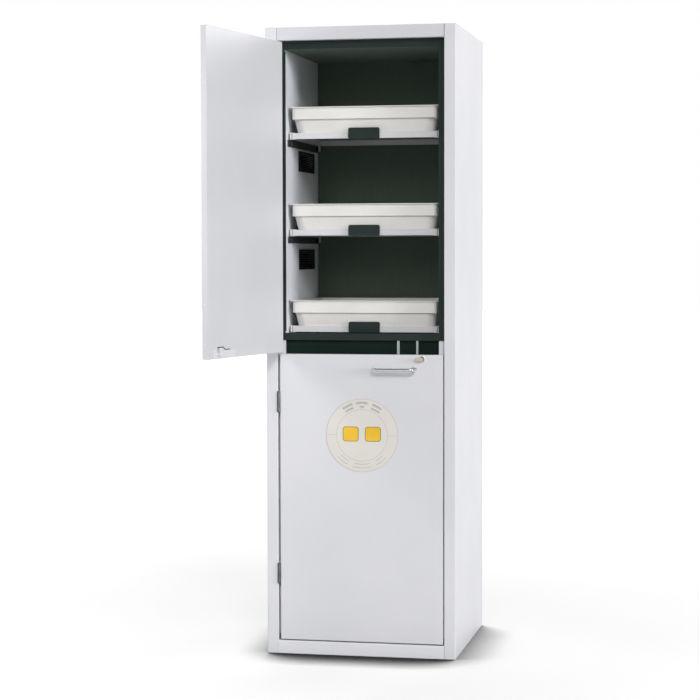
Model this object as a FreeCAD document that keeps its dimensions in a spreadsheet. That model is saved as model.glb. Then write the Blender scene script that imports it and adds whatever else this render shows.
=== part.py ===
"""Tall two-door acid storage cabinet with three roller pull-outs behind each door.

Every sub-part is drawn with X to the right, the second axis as the depth behind the cabinet's
front face, and Z as the height above the floor. Its Placement then moves the depth axis so that
the origin lies on the floor under the middle of the casing. The upper door's sub-parts are drawn
closed and swung open about the hinge line by their Placement.
"""
import FreeCAD, Part
import math
import os
import re

import Sketcher

from FreeCAD import Placement, Rotation, Vector

SIZES = {
    # Casing of folded sheet
    "width": 600,
    "depth": 603,
    "height": 1965,
    "casing_sheet": 1.5,
    "bend_radius": 2.5,
    "floor_gap": 1,
    "post_width": 36,
    "post_return": 24,
    "rear_flange": 25,
    "cover_flange": 20,
    "plinth_top": 42,
    "plinth_return": 22,
    "fascia_bottom": 1924,
    "fascia_return": 20,
    "seam": 0.8,
    "seam_depth": 4,
    # Base frame and levelling screws
    "base_rail": 50,
    "base_steel": 3,
    "gusset": 65,
    "gusset_overlap": 5,
    "foot_inset": 30,
    "foot_radius": 14,
    "foot_height": 6,
    "foot_clearance": 0.5,
    "foot_screw_radius": 5,
    # Liners
    "liner_board": 19.5,
    "liner_front": 22,
    "back_face": 500,
    "back_board": 12,
    "floor_top": 60,
    "divider_front": 45,
    "divider_board": 16,
    "divider_top": 988,
    "ceiling": 1899,
    # Edge trim and cross beam of the upper opening
    "trim_front": 20,
    "trim_thickness": 3,
    "trim_corner": 6,
    "trim_lip": 0.8,
    "trim_lip_back": 35,
    "beam_bottom": 990.4,
    "beam_top": 1012,
    "beam_steel": 2,
    "apron_front": 32,
    "apron_bottom": 944,
    # Duct collar in the top cover
    "duct_radius": 37.6,
    "collar_wall": 2.4,
    "collar_length": 60,
    "collar_flange": 3.5,
    "collar_depth": 556,
    # Vent grilles
    "grille_front": 212,
    "grille_length": 220,
    "grille_bottom": 1527,
    "grille_height": 65,
    "grille_pitch": 317,
    "grille_border": 8,
    "grille_thickness": 3,
    "grille_slat": 2.6,
    "grille_slats": 6,
    "grille_setback": 1,
    # Strike bracket
    "strike_front": 22,
    "strike_steel": 3,
    "strike_bottom": 925,
    "strike_plate": 2,
    "strike_outer_left": 112.5,
    "strike_outer_right": 120.5,
    "strike_inner_left": 173,
    "strike_inner_right": 179.5,
    "strike_corner": 1,
    # Doors
    "door_left": -256.5,
    "door_right": 260.5,
    "door_thickness": 18,
    "door_skin": 1,
    "door_edge_radius": 1.5,
    "lower_door_bottom": 46,
    "lower_door_top": 947.5,
    "upper_door_bottom": 954,
    "upper_door_top": 1919,
    "door_open_angle": 101.4,
    # Hinges
    "hinge_across": -261.5,
    "hinge_depth": -1,
    "hinge_height": 62.5,
    "hinge_knuckle": 4.4,
    "hinge_pin": 3,
    "hinge_bore": 3.06,
    "hinge_gap": 0.3,
    "leaf_thickness": 2,
    "leaf_back": 17.5,
    "leaf_setback": 4.5,
    "notch_clearance": 1.5,
    "lower_hinge_low": 254.4,
    "lower_hinge_high": 797,
    "upper_hinge_low": 1182.5,
    "upper_hinge_high": 1712,
    # Handles
    "handle_left": 44,
    "handle_pitch": 128,
    "handle_radius": 4.75,
    "handle_bend": 12.5,
    "handle_reach": 30,
    "handle_rosette": 8.5,
    "rosette_thickness": 2.5,
    "lower_handle_level": 902,
    "upper_handle_level": 1001,
    # Locks
    "lock_across": 196,
    "lower_lock_level": 934,
    "upper_lock_level": 967,
    "lock_hole": 8.2,
    "lock_housing": 8,
    "lock_rosette": 9.5,
    "lock_bore": 6.08,
    "plug_radius": 6,
    "plug_stand": 2.3,
    "rosette_stand": 2,
    "spindle_radius": 4,
    "cam_front": 28,
    "cam_thickness": 3,
    "cam_length": 20,
    "cam_half_width": 5,
    "cam_corner": 4.5,
    "case_left": 83,
    "case_right": 220,
    "case_half_height": 11.5,
    "case_thickness": 2,
    "case_corner": 3,
    "keyway_half_width": 4,
    "keyway_half_height": 1.2,
    "keyway_depth": 3,
    "key_bow_left": 23,
    "key_bow_right": 4,
    "key_bow_half_height": 5.5,
    "key_bow_corner": 5,
    "key_bow_reach": 12.5,
    "key_bow_thickness": 2.5,
    "key_ring_left": 18,
    "key_ring_radius": 2.2,
    "key_play": 0.1,
    # Latch lever above the upper lock
    "lever_left": 118,
    "lever_right": 199,
    "lever_step_left": 149,
    "lever_step_right": 163,
    "lever_low": 978.8,
    "lever_high": 986.4,
    "lever_width": 2.5,
    # Screws
    "screw_head": 3.5,
    "screw_stand": 1.2,
    "case_screw_left": 79,
    "case_screw_right": 164,
    "edge_screw_stand": 0.5,
    "edge_screw_low": 999,
    "edge_screw_middle": 1115,
    "edge_screw_high": 1753,
    # Information disc on the lower door
    "disc_across": 5.5,
    "disc_level": 695,
    "disc_radius": 115,
    "disc_thickness": 0.8,
    # Shelves of the pull-outs
    "top_shelf_level": 1622.3,
    "lower_shelf_level": 698,
    "shelf_pitch": 304,
    "shelf_side": 232,
    "shelf_front": 71,
    "shelf_back": 486,
    "shelf_rise": 18.6,
    "shelf_steel": 1.2,
    "cap_width": 10,
    "cap_thickness": 1.4,
    "cap_margin": 1.2,
    # Trays
    "tray_wall": 3,
    "tray_top": 99.5,
    "tray_band_bottom": 63.7,
    "tray_lip_side": 239,
    "tray_lip_front": 54,
    "tray_lip_back": 489,
    "tray_band_side": 230.7,
    "tray_band_front": 59,
    "tray_band_back": 487,
    "tray_body_side": 228.5,
    "tray_body_front": 64.5,
    "tray_body_back": 484,
    "tray_foot_side": 219.5,
    "tray_foot_front": 76,
    "tray_foot_back": 476,
    "tray_lip_corner": 15,
    "tray_band_corner": 12,
    "tray_body_corner": 30,
    # Grips
    "grip_half_width": 49.9,
    "grip_front": 62,
    "grip_thickness": 5,
    "grip_below": 1.5,
    "grip_above": 33,
    "grip_corner": 6,
    "grip_stem_half_width": 45,
    "grip_stem_bottom": 1,
    "grip_stem_top": 9,
    # Rails and rollers
    "rail_drop": 13,
    "rail_steel": 1.2,
    "rail_front": 60,
    "channel_front": 110,
    "rail_back": 480,
    "channel_floor": 9.8,
    "channel_roof": 9,
    "channel_reach": 10.4,
    "runner_flange": 6,
    "runner_top": 18,
    "runner_gap": 0.3,
    "runner_overlap": 0.2,
    "runner_end_thickness": 2,
    "runner_end_above": 20.5,
    "runner_end_corner": 1.5,
    "tab_front": 455,
    "tab_back": 485,
    "tab_below": 8,
    "roller_play": 0.7,
    "roller_width": 8,
    "front_roller_radius": 10.5,
    "front_roller_rise": 0.7,
    "front_roller_depth": 83,
    "rear_roller_radius": 9.1,
    "rear_roller_drop": 0.4,
    "rear_roller_depth": 470,
    "axle_radius": 3,
    "axle_bore": 3.06,
    "axle_head": 4.5,
    "axle_end_gap": 0.5,
}

# Places that follow from the driving sizes
HALF = "(width / 2)"
POST = "(width / 2 - post_width)"
WALL = "(width / 2 - post_width - liner_board)"
INNER_SIDE = "(width / 2 - casing_sheet)"
TOP_SHEET = "(height - casing_sheet)"
REAR_SHEET = "(depth - casing_sheet)"
TRIM_BACK = "(trim_front + trim_thickness)"
SHELF_GAP = f"({WALL} - shelf_side)"
SHEET_FRONT = "(door_thickness - door_skin)"
HANDLE_RIGHT = "(handle_left + handle_pitch)"
HINGE_LEVELS = ("lower_hinge_low", "lower_hinge_high", "upper_hinge_low", "upper_hinge_high")
CASE_SCREWS = ("case_screw_left", "case_screw_right")
EDGE_SCREWS = ("edge_screw_low", "edge_screw_middle", "edge_screw_high")
LEVELS = range(3)
GRILLES = range(2)
TINY = 1e-6

# The planes of a sketch and the way its outline is pulled: up, backward or to the right
PLAN = "XY_Plane"
FRONT = "XZ_Plane"
SIDE = "YZ_Plane"

doc = FreeCAD.newDocument("acid_cabinet")
sheet = doc.addObject("Spreadsheet::Sheet", "Sizes")
for row, (alias, size) in enumerate(SIZES.items(), start=1):
    sheet.set(f"A{row}", alias)
    sheet.set(f"B{row}", str(size))
    sheet.setAlias(f"B{row}", alias)
doc.recompute()
nodes = []


def formula(text):
    """The same sum with each name turned into a reference to the sheet."""
    return re.sub(r"[a-z][a-z_]+", lambda name: "Sizes." + name.group(), str(text))


def value(text):
    """What a sum of the sheet's names comes to, in millimetres or degrees."""
    return float(sheet.evalExpression(formula(text)))


def bind(owner, name, text):
    """Keep a property equal to a sum of the sheet's names."""
    owner.setExpression(name, formula(text))


def to_row_frame(swing=0):
    """Placement of a sub-part drawn from the front face, swung open by an angle in degrees."""
    pivot = Vector(value("hinge_across"), value("hinge_depth"), 0)
    turned = Placement(pivot, Rotation(Vector(0, 0, 1), -swing))
    forward = Placement(Vector(0, -value("depth / 2"), 0), Rotation())
    return forward * turned * Placement(-pivot, Rotation())


def new_node(name, swing=0):
    """An empty body whose label names a sub-part."""
    body = doc.addObject("PartDesign::Body", name)
    body.Label = name
    body.Placement = to_row_frame(swing)
    nodes.append(body)
    return body


def sketch_on(body, plane, level):
    """A sketch on one of the body's origin planes, moved along the pulling direction."""
    sketch = body.newObject("Sketcher::SketchObject", body.Label + "_sketch")
    origin_plane = next(item for item in body.Origin.OriginFeatures if item.Role == plane)
    sketch.AttachmentSupport = [(origin_plane, "")]
    sketch.MapMode = "FlatFace"
    sign = "-" if plane == FRONT else ""
    bind(sketch, "AttachmentOffset.Base.z", f"{sign}({level})")
    return sketch


def fix_point(sketch, geometry, end, across, up):
    """Tie a point of the sketch to two sums of the sheet's names."""
    for kind, text in (("DistanceX", across), ("DistanceY", up)):
        index = sketch.addConstraint(Sketcher.Constraint(kind, -1, 1, geometry, end, value(text)))
        bind(sketch, f"Constraints[{index}]", text)


def fix_radius(sketch, geometry, radius):
    """Tie the radius of a circle or an arc to a sum of the sheet's names."""
    index = sketch.addConstraint(Sketcher.Constraint("Radius", geometry, value(radius)))
    bind(sketch, f"Constraints[{index}]", radius)


def circle(across, up, radius):
    """A round outline for pull and carve."""
    return {"centre": (across, up), "radius": radius}


def rectangle(left, right, bottom, top, radius=None):
    """A four-cornered outline, with round corners where a radius is given."""
    corners = ((left, bottom), (right, bottom), (right, top), (left, top))
    return [corner + ((radius,) if radius else ()) for corner in corners]


def mirrored(outline):
    """The same outline on the other side of the cabinet's middle plane."""
    if isinstance(outline, dict):
        across, up = outline["centre"]
        return circle(f"-({across})", up, outline["radius"])
    return [(f"-({corner[0]})", *corner[1:]) for corner in outline]


def both_sides(*outlines):
    """Each outline and its mirror image."""
    return [shape for outline in outlines for shape in (outline, mirrored(outline))]


def draw_circle(sketch, outline):
    across, up = outline["centre"]
    radius = outline["radius"]
    centre = Vector(value(across), value(up), 0)
    index = sketch.addGeometry(Part.Circle(centre, Vector(0, 0, 1), value(radius)), False)
    fix_radius(sketch, index, radius)
    fix_point(sketch, index, 3, across, up)


def corner_arc(before, corner, after, radius):
    """The arc that rounds a corner, and whether it starts on the side of the point before."""
    back = (before - corner).normalize()
    ahead = (after - corner).normalize()
    half_angle = back.getAngle(ahead) / 2
    centre = corner + (back + ahead).normalize() * (radius / math.sin(half_angle))
    run = radius / math.tan(half_angle)
    first = corner + back * run - centre
    last = corner + ahead * run - centre
    start = math.atan2(first.y, first.x)
    end = math.atan2(last.y, last.x)
    forward = (end - start) % (2 * math.pi) < math.pi
    if not forward:
        start, end = end, start
    return Part.ArcOfCircle(Part.Circle(centre, Vector(0, 0, 1), radius), start, end), forward


def draw_corners(sketch, corners, closed=True):
    """Lines through corners (across, up), rounded where a corner also gives a radius."""
    count = len(corners)
    points = [Vector(value(corner[0]), value(corner[1]), 0) for corner in corners]
    runs = count if closed else count - 1
    lines = [
        sketch.addGeometry(Part.LineSegment(points[i], points[(i + 1) % count]), False)
        for i in range(runs)
    ]
    for i, corner in enumerate(corners):
        first_end = not closed and i == 0
        last_end = not closed and i == count - 1
        if first_end or last_end:
            line, end = (lines[0], 1) if first_end else (lines[-1], 2)
            fix_point(sketch, line, end, corner[0], corner[1])
            continue
        line_in, line_out = lines[i - 1], lines[i]
        if len(corner) == 2:
            sketch.addConstraint(Sketcher.Constraint("Coincident", line_in, 2, line_out, 1))
            fix_point(sketch, line_out, 1, corner[0], corner[1])
            continue
        arc, forward = corner_arc(points[i - 1], points[i], points[(i + 1) % count], value(corner[2]))
        index = sketch.addGeometry(arc, False)
        near, far = (1, 2) if forward else (2, 1)
        apex = sketch.addGeometry(Part.Point(points[i]), True)
        sketch.addConstraint(Sketcher.Constraint("PointOnObject", apex, 1, line_in))
        sketch.addConstraint(Sketcher.Constraint("PointOnObject", apex, 1, line_out))
        fix_point(sketch, apex, 1, corner[0], corner[1])
        sketch.addConstraint(Sketcher.Constraint("Tangent", line_in, 2, index, near))
        sketch.addConstraint(Sketcher.Constraint("Tangent", index, far, line_out, 1))
        fix_radius(sketch, index, corner[2])


def draw(sketch, outline):
    if isinstance(outline, dict):
        draw_circle(sketch, outline)
    else:
        draw_corners(sketch, outline)


def pull(body, plane, outlines, start, end):
    """Add the outlines to the body, pulled from one level to another."""
    sketch = sketch_on(body, plane, start)
    for outline in outlines:
        draw(sketch, outline)
    pad = body.newObject("PartDesign::Pad", body.Label + "_pad")
    pad.Profile = sketch
    pad.Reversed = plane == FRONT
    bind(pad, "Length", f"({end}) - ({start})")
    doc.recompute()
    return pad


def carve(body, plane, outlines, start, end):
    """Take the pulled outlines away from the body."""
    before = body.Shape.Volume
    sketch = sketch_on(body, plane, start)
    for outline in outlines:
        draw(sketch, outline)
    pocket = body.newObject("PartDesign::Pocket", body.Label + "_pocket")
    pocket.Profile = sketch
    pocket.Reversed = plane != FRONT
    bind(pocket, "Length", f"({end}) - ({start})")
    doc.recompute()
    if body.Shape.Volume > before - TINY:
        raise RuntimeError(f"{body.Label}: a pocket cut nothing")
    return pocket


def loft(body, kind, lower, lower_level, upper, upper_level):
    """Add or take away the body between two outlines at two heights."""
    profiles = []
    for outline, level in ((lower, lower_level), (upper, upper_level)):
        profile = sketch_on(body, PLAN, level)
        draw(profile, outline)
        profiles.append(profile)
    blend = body.newObject(kind, body.Label + "_loft")
    blend.Profile = profiles[0]
    blend.Sections = [profiles[1]]
    blend.Ruled = True
    doc.recompute()
    return blend


def pull_from_wall(body, outlines, near, far):
    """Pull side outlines between two distances from the left and the right inner wall."""
    pull(body, SIDE, outlines, f"{WALL} - ({far})", f"{WALL} - ({near})")
    pull(body, SIDE, outlines, f"({near}) - {WALL}", f"({far}) - {WALL}")


def from_wall(distance):
    return f"({WALL} - ({distance}))"


def upper_level(index):
    return f"(top_shelf_level - {index} * shelf_pitch)"


def lower_level(index):
    return f"(lower_shelf_level - {index} * shelf_pitch)"


def side_panel(name, side):
    """Side sheet folded into a front post and a rear flange; the left post has hinge notches."""
    outline = [
        (POST, "post_return"),
        (POST, 0, "bend_radius"),
        (HALF, 0, "bend_radius"),
        (HALF, "depth", "bend_radius"),
        (f"{HALF} - rear_flange", "depth"),
        (f"{HALF} - rear_flange", REAR_SHEET),
        (INNER_SIDE, REAR_SHEET),
        (INNER_SIDE, "casing_sheet"),
        (f"{POST} + casing_sheet", "casing_sheet"),
        (f"{POST} + casing_sheet", "post_return"),
    ]
    body = new_node(name)
    shape = outline if side > 0 else mirrored(outline)
    pull(body, PLAN, [shape], "floor_gap", TOP_SHEET)
    if side < 0:
        reach = "(hinge_knuckle + notch_clearance)"
        tall = "(hinge_height / 2 + notch_clearance)"
        notches = [
            rectangle(
                f"hinge_across - {reach}", f"notch_clearance - {POST}",
                f"{level} - {tall}", f"{level} + {tall}",
            )
            for level in HINGE_LEVELS
        ]
        carve(body, FRONT, notches, 0, "hinge_depth + hinge_knuckle + notch_clearance")


def top_cover():
    """Cover sheet with two flanges inside the side panels and the duct's hole."""
    body = new_node("top_cover")
    edge = rectangle(f"-{HALF}", HALF, 0, "depth", "bend_radius")
    collar = circle(0, "collar_depth", "duct_radius + collar_wall")
    pull(body, PLAN, [edge, collar], TOP_SHEET, "height")
    flange = rectangle(f"{INNER_SIDE} - casing_sheet", INNER_SIDE, "post_return", "depth - rear_flange")
    pull(body, PLAN, both_sides(flange), f"{TOP_SHEET} - cover_flange", TOP_SHEET)


def rear_panel():
    body = new_node("rear_panel")
    face = rectangle(f"-{INNER_SIDE}", INNER_SIDE, "floor_gap", TOP_SHEET)
    pull(body, FRONT, [face], f"{REAR_SHEET} - casing_sheet", REAR_SHEET)


def fascia():
    """Sheet above the upper door, folded back along its lower edge, with a seam at each post."""
    body = new_node("fascia")
    section = [
        (0, TOP_SHEET),
        (0, "fascia_bottom", "bend_radius"),
        ("fascia_return", "fascia_bottom"),
        ("fascia_return", "fascia_bottom + casing_sheet"),
        ("casing_sheet", "fascia_bottom + casing_sheet"),
        ("casing_sheet", TOP_SHEET),
    ]
    pull(body, SIDE, [section], f"-{POST}", POST)
    seam = rectangle(
        f"{POST} - seam", f"{POST} + seam", "fascia_bottom - seam", f"{TOP_SHEET} + seam",
    )
    carve(body, FRONT, both_sides(seam), 0, "seam_depth")


def plinth():
    """Sheet below the lower door, folded back along its upper edge."""
    body = new_node("plinth")
    section = [
        (0, "floor_gap"),
        ("casing_sheet", "floor_gap"),
        ("casing_sheet", "plinth_top - casing_sheet"),
        ("plinth_return", "plinth_top - casing_sheet"),
        ("plinth_return", "plinth_top"),
        (0, "plinth_top", "bend_radius"),
    ]
    pull(body, SIDE, [section], f"-{POST}", POST)


def base_frame():
    """Ring of inward channel that carries the casing, with a gusset in each corner."""
    body = new_node("base_frame")
    outer = rectangle(f"-{INNER_SIDE}", INNER_SIDE, "post_return", f"{REAR_SHEET} - casing_sheet")
    inner = rectangle(
        f"base_rail - {INNER_SIDE}", f"{INNER_SIDE} - base_rail",
        "post_return + base_rail", f"{REAR_SHEET} - casing_sheet - base_rail",
    )
    pull(body, PLAN, [outer, inner], 0, "plinth_top")
    hollow = rectangle(
        f"base_steel - {INNER_SIDE}", f"{INNER_SIDE} - base_steel",
        "post_return + base_steel", f"{REAR_SHEET} - casing_sheet - base_steel",
    )
    carve(body, PLAN, [hollow], "base_steel", "plinth_top - base_steel")
    gussets = []
    for near, far in foot_rows():
        plate = rectangle(
            f"{INNER_SIDE} - base_rail - gusset + gusset_overlap",
            f"{INNER_SIDE} - base_rail + gusset_overlap", near, far,
        )
        gussets += both_sides(plate)
    pull(body, PLAN, gussets, "plinth_top - base_steel", "plinth_top")


def foot_rows():
    """Depth ranges of the front and the rear gussets."""
    front = "(post_return + base_rail)"
    rear = f"({REAR_SHEET} - casing_sheet - base_rail)"
    return (
        (f"{front} - gusset_overlap", f"{front} + gusset - gusset_overlap"),
        (f"{rear} - gusset + gusset_overlap", f"{rear} + gusset_overlap"),
    )


def levelling_screws():
    """Four discs on screws under the gussets, turned in so that the base frame stands."""
    body = new_node("levelling_screws")
    across = f"({INNER_SIDE} - base_rail - foot_inset)"
    depths = (
        "(post_return + base_rail + foot_inset)",
        f"({REAR_SHEET} - casing_sheet - base_rail - foot_inset)",
    )
    discs = []
    shafts = []
    for depth in depths:
        discs += both_sides(circle(across, depth, "foot_radius"))
        shafts += both_sides(circle(across, depth, "foot_screw_radius"))
    disc_top = "foot_clearance + foot_height"
    pull(body, PLAN, discs, "foot_clearance", disc_top)
    pull(body, PLAN, shafts, disc_top, "plinth_top - base_steel")


def liners():
    """Boards behind the casing that make the two compartments."""
    board_right = rectangle(WALL, POST, "liner_front", "back_face")
    board_right_upper = rectangle(WALL, POST, TRIM_BACK, "back_face")
    lower = new_node("lower_side_liners")
    pull(lower, PLAN, both_sides(board_right), "floor_top", "divider_top")
    upper = new_node("upper_side_liners")
    pull(upper, PLAN, both_sides(board_right_upper), "divider_top", "ceiling")
    border = "grille_border"
    ducts = [
        rectangle(
            f"grille_front + {border}", f"grille_front + grille_length - {border}",
            f"{grille_level(index)} + {border}", f"{grille_level(index)} + grille_height - {border}",
        )
        for index in GRILLES
    ]
    carve(upper, SIDE, ducts, f"-{POST}", f"-{WALL}")
    full = rectangle(f"-{POST}", POST, "liner_front", "back_face + back_board")
    floor = new_node("floor_liner")
    pull(floor, PLAN, [full], "plinth_top", "floor_top")
    lid = rectangle(f"-{POST}", POST, TRIM_BACK, "back_face + back_board")
    ceiling = new_node("ceiling_liner")
    pull(ceiling, PLAN, [lid], "ceiling", "ceiling + liner_board")
    back = new_node("back_liner")
    back_plan = rectangle(f"-{POST}", POST, "back_face", "back_face + back_board")
    pull(back, PLAN, [back_plan], "floor_top", "ceiling")
    divider = new_node("divider_panel")
    shelf_plan = rectangle(f"-{WALL}", WALL, "divider_front", "back_face")
    pull(divider, PLAN, [shelf_plan], "divider_top - divider_board", "divider_top")


def upper_edge_trim():
    """Frame around the upper opening, with rounded inner corners and a lip on each side wall."""
    body = new_node("upper_edge_trim")
    outer = rectangle(f"-{POST}", POST, "beam_bottom", "fascia_bottom")
    inner = rectangle(f"-{WALL}", WALL, "beam_top", "ceiling", "trim_corner")
    pull(body, FRONT, [outer, inner], "trim_front", TRIM_BACK)
    lip = rectangle(f"{WALL} - trim_lip", WALL, "trim_front", "trim_lip_back")
    pull(body, PLAN, both_sides(lip), "beam_top + trim_corner", "ceiling - trim_corner")


def cross_beam():
    """Hollow beam behind the trim's lower bar, with an apron that closes the gap of the doors."""
    body = new_node("cross_beam")
    outer = rectangle(TRIM_BACK, "divider_front", "beam_bottom", "beam_top")
    inner = rectangle(
        f"{TRIM_BACK} + beam_steel", "divider_front - beam_steel",
        "beam_bottom + beam_steel", "beam_top - beam_steel",
    )
    pull(body, SIDE, [outer, inner], f"-{WALL}", WALL)
    apron = rectangle(
        "apron_front", "apron_front + beam_steel", "apron_bottom", "beam_bottom + beam_steel / 2",
    )
    pull(body, SIDE, [apron], f"-{WALL}", WALL)


def exhaust_collar():
    """Collar under the top cover that takes a duct's end."""
    body = new_node("exhaust_collar")
    bore = circle(0, "collar_depth", "duct_radius")
    tube = circle(0, "collar_depth", "duct_radius + collar_wall")
    rim = circle(0, "collar_depth", "duct_radius + collar_wall + collar_flange")
    pull(body, PLAN, [tube, bore], "height - collar_length", "height")
    pull(body, PLAN, [rim, bore], f"{TOP_SHEET} - base_steel", TOP_SHEET)


def grille_level(index):
    return f"(grille_bottom - {index} * grille_pitch)"


def vent_grilles():
    """Two louvred frames on the left wall of the upper compartment."""
    body = new_node("vent_grilles")
    face = f"-{WALL}"
    end = "(grille_front + grille_length)"
    for index in GRILLES:
        bottom = grille_level(index)
        top = f"({bottom} + grille_height)"
        outer = rectangle("grille_front", end, bottom, top, "grille_thickness")
        inner = rectangle(
            "grille_front + grille_border", f"{end} - grille_border",
            f"{bottom} + grille_border", f"{top} - grille_border",
        )
        pull(body, SIDE, [outer, inner], face, f"{face} + grille_thickness")
        gap = "((grille_height - 2 * grille_border) / (grille_slats + 1))"
        slats = []
        for slat in range(int(SIZES["grille_slats"])):
            middle = f"({bottom} + grille_border + {slat + 1} * {gap})"
            slats.append(rectangle(
                "grille_front + grille_border / 2", f"{end} - grille_border / 2",
                f"{middle} - grille_slat / 2", f"{middle} + grille_slat / 2",
            ))
        pull(body, SIDE, slats, face, f"{face} + grille_thickness - grille_setback")


def strike_bracket():
    """Two angles under the cross beam whose legs the lock cams catch behind."""
    body = new_node("strike_bracket")
    plate_bottom = "(beam_bottom - strike_plate)"
    spans = (
        ("strike_outer_left", "strike_outer_right"), ("strike_inner_left", "strike_inner_right"),
    )
    plates = [rectangle(left, right, "strike_front", "apron_front") for left, right in spans]
    pull(body, PLAN, plates, plate_bottom, "beam_bottom")
    legs = [
        rectangle(left, right, "strike_bottom", f"{plate_bottom} + strike_plate / 2", "strike_corner")
        for left, right in spans
    ]
    pull(body, FRONT, legs, "strike_front", "strike_front + strike_steel")


def frame_hinges():
    """Lower knuckles, pins and leaves on the left post."""
    body = new_node("frame_hinges")
    for level in HINGE_LEVELS:
        bottom = f"({level} - hinge_height / 2)"
        top = f"({level} + hinge_height / 2)"
        knuckle_top = f"({level} - hinge_gap / 2)"
        leaf = rectangle(f"-{POST}", f"leaf_thickness - {POST}", "leaf_setback", "leaf_back")
        root = rectangle(f"-{POST}", f"leaf_thickness - {POST}", "leaf_thickness", "leaf_back")
        pull(body, PLAN, [circle("hinge_across", "hinge_depth", "hinge_pin")], bottom, top)
        pull(body, PLAN, [circle("hinge_across", "hinge_depth", "hinge_knuckle")], bottom, knuckle_top)
        pull(body, PLAN, [root], bottom, knuckle_top)
        pull(body, PLAN, [leaf], bottom, top)


def door_hinges(name, levels, swing):
    """Upper knuckles and leaves on the door's left edge."""
    body = new_node(name, swing)
    for level in levels:
        bottom = f"({level} - hinge_height / 2)"
        top = f"({level} + hinge_height / 2)"
        knuckle_bottom = f"({level} + hinge_gap / 2)"
        bore = circle("hinge_across", "hinge_depth", "hinge_bore")
        knuckle = circle("hinge_across", "hinge_depth", "hinge_knuckle")
        leaf = rectangle("door_left - leaf_thickness", "door_left", "leaf_setback", "leaf_back")
        root = rectangle("door_left - leaf_thickness", "door_left", "-hinge_depth", "leaf_back")
        pull(body, PLAN, [leaf], bottom, top)
        pull(body, PLAN, [root], knuckle_bottom, top)
        pull(body, PLAN, [knuckle, bore], knuckle_bottom, top)


def door_layers(prefix, bottom, top, lock_level, swing):
    """Pan-shaped outer sheet, core board and inner sheet, with the lock's hole through all."""
    hole = [circle("lock_across", lock_level, "lock_hole")]
    outer = rectangle("door_left", "door_right", bottom, top)
    inset = rectangle(
        "door_left + door_skin", "door_right - door_skin",
        f"{bottom} + door_skin", f"{top} - door_skin",
    )
    shell = new_node(prefix + "_door_shell", swing)
    pull(shell, FRONT, [outer], 0, "door_thickness")
    soften_front_edges(shell)
    carve(shell, FRONT, [inset], "door_skin", "door_thickness")
    carve(shell, FRONT, hole, 0, "door_thickness")
    core = new_node(prefix + "_door_core", swing)
    pull(core, FRONT, [inset] + hole, "door_skin", SHEET_FRONT)
    lining = new_node(prefix + "_door_inner_sheet", swing)
    pull(lining, FRONT, [inset] + hole, SHEET_FRONT, "door_thickness")


def soften_front_edges(body):
    """Round the four edges around the door's front face."""
    pad = body.Tip
    edges = [
        f"Edge{index}"
        for index, edge in enumerate(pad.Shape.Edges, start=1)
        if abs(edge.BoundBox.YMin) < TINY and abs(edge.BoundBox.YMax) < TINY
    ]
    fillet = body.newObject("PartDesign::Fillet", body.Label + "_bend")
    fillet.Base = (pad, edges)
    bind(fillet, "Radius", "door_edge_radius")
    doc.recompute()


def handle(name, level, swing):
    """Bow of round rod on two rosettes."""
    body = new_node(name, swing)
    path = sketch_on(body, PLAN, level)
    corners = (
        ("handle_left", "-rosette_thickness"),
        ("handle_left", "-handle_reach", "handle_bend"),
        (HANDLE_RIGHT, "-handle_reach", "handle_bend"),
        (HANDLE_RIGHT, "-rosette_thickness"),
    )
    draw_corners(path, corners, closed=False)
    section = sketch_on(body, FRONT, "-rosette_thickness")
    draw(section, circle("handle_left", level, "handle_radius"))
    rod = body.newObject("PartDesign::AdditivePipe", body.Label + "_rod")
    rod.Profile = section
    rod.Spine = (path, [f"Edge{index + 1}" for index in range(len(path.Shape.Edges))])
    doc.recompute()
    feet = [circle(across, level, "handle_rosette") for across in ("handle_left", HANDLE_RIGHT)]
    pull(body, FRONT, feet, "-rosette_thickness", 0)


def lock_case(name, level, handle_level, swing, edge_screws=()):
    """Lock housing through the door, case plate inside, and the screws of lock and handle."""
    body = new_node(name, swing)
    bore = circle("lock_across", level, "lock_bore")
    housing = circle("lock_across", level, "lock_housing")
    case_back = "(door_thickness + case_thickness)"
    plate = rectangle(
        "case_left", "case_right", f"{level} - case_half_height", f"{level} + case_half_height",
        "case_corner",
    )
    pull(body, FRONT, [plate, bore], "door_thickness", case_back)
    pull(body, FRONT, [housing, bore], 0, "door_thickness + case_thickness / 2")
    pull(body, FRONT, [circle("lock_across", level, "lock_rosette"), bore], "-rosette_stand", 0)
    for across, start in zip(CASE_SCREWS, ("door_thickness", case_back)):
        head = circle(across, level, "screw_head")
        pull(body, FRONT, [head], start, f"{start} + screw_stand")
    heads = [circle(across, handle_level, "screw_head") for across in ("handle_left", HANDLE_RIGHT)]
    pull(body, FRONT, heads, "door_thickness", "door_thickness + screw_stand")
    if edge_screws:
        dots = [circle("door_thickness / 2", height, "screw_head") for height in edge_screws]
        pull(body, SIDE, dots, "door_right", "door_right + edge_screw_stand")


def latch_lever(swing):
    """Flat cranked lever above the upper lock's case plate."""
    body = new_node("upper_latch_lever", swing)
    strip = [
        ("lever_left", "lever_low"),
        ("lever_step_left", "lever_low"),
        ("lever_step_right", "lever_high"),
        ("lever_right", "lever_high"),
        ("lever_right", "lever_high + lever_width"),
        ("lever_step_right", "lever_high + lever_width"),
        ("lever_step_left", "lever_low + lever_width"),
        ("lever_left", "lever_low + lever_width"),
    ]
    pull(body, FRONT, [strip], "door_thickness", "door_thickness + case_thickness")


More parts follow.
